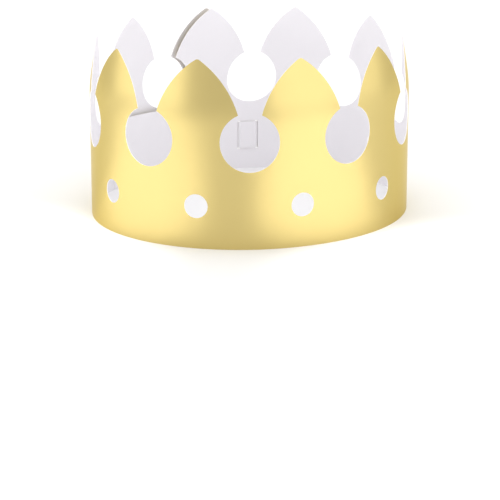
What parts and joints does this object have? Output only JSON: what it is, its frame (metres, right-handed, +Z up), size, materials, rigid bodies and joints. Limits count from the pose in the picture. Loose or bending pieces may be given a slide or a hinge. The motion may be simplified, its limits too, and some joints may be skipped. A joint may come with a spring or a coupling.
{
  "type": "paper crown",
  "caption": "Party crown: a die-cut strip of foil-faced card, rolled into a ring and closed by a tab woven through slits.",
  "frame": {"origin": "middle of the ring's outer box on the surface that it stands on", "axes": "+Z up from the foot to the tips; -Y through the front gap between two points; the closure is at the back left, towards +Y and -X"},
  "size_m": [0.187, 0.1962, 0.1044],
  "materials": {
    "foil_card": "satin gold foil outside, matt white card inside"
  },
  "bodies": {
    "root": {"crown_strip": "foil_card"}
  },
  "joints": []
}
